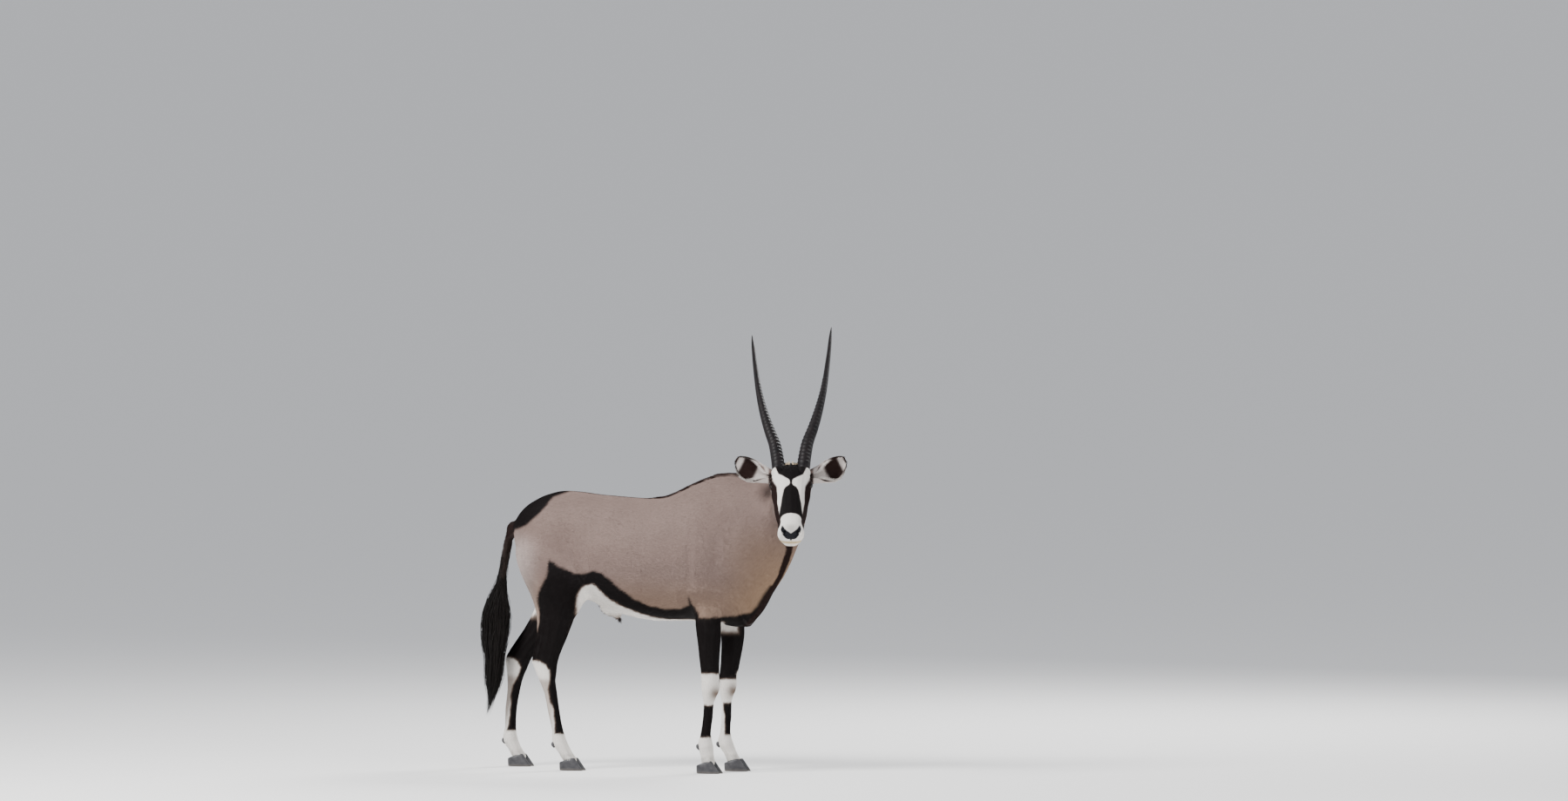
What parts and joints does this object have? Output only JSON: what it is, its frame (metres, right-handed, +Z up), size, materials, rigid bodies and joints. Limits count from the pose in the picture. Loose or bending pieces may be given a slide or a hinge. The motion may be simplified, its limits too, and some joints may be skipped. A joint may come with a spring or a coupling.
{
  "type": "gemsbok",
  "caption": "Life-size still model of a standing gemsbok bull with long ringed horns, its head turned to face over its right shoulder.",
  "frame": {"origin": "on the ground, under the middle of the bounding box", "axes": "+X along the body towards its front, +Y to the animal's left, +Z up; the head is turned towards -Y"},
  "size_m": [1.5846, 0.8112, 1.786],
  "materials": {
    "hide_fawn": "short flat fawn coat, cooler and greyer along the back",
    "hide_dark": "short black-brown coat",
    "hide_white": "short white coat",
    "hide_ear": "thin haired skin, dark inside the cup",
    "horn": "dark ringed horn, satin, smooth at the tips",
    "hoof": "dark grey hoof horn, satin",
    "eye": "very dark brown, wet gloss",
    "tail_hair": "long coarse black hair"
  },
  "bodies": {
    "root": {"torso": "hide_fawn", "neck": "hide_fawn", "head": "hide_fawn", "ear_left": "hide_ear", "ear_right": "hide_ear", "eye_left": "eye", "eye_right": "eye", "horn_left": "horn", "horn_right": "horn", "tail_dock": "hide_dark", "tail_tuft": "tail_hair", "foreleg_left_upper": "hide_dark", "foreleg_left_lower": "hide_white", "hoof_foreleg_left_inner": "hoof", "dewclaw_foreleg_left_inner": "hoof", "hoof_foreleg_left_outer": "hoof", "dewclaw_foreleg_left_outer": "hoof", "foreleg_right_upper": "hide_dark", "foreleg_right_lower": "hide_white", "hoof_foreleg_right_inner": "hoof", "dewclaw_foreleg_right_inner": "hoof", "hoof_foreleg_right_outer": "hoof", "dewclaw_foreleg_right_outer": "hoof", "hindleg_left_upper": "hide_dark", "hindleg_left_lower": "hide_white", "hoof_hindleg_left_inner": "hoof", "dewclaw_hindleg_left_inner": "hoof", "hoof_hindleg_left_outer": "hoof", "dewclaw_hindleg_left_outer": "hoof", "hindleg_right_upper": "hide_dark", "hindleg_right_lower": "hide_white", "hoof_hindleg_right_inner": "hoof", "dewclaw_hindleg_right_inner": "hoof", "hoof_hindleg_right_outer": "hoof", "dewclaw_hindleg_right_outer": "hoof"}
  },
  "joints": []
}
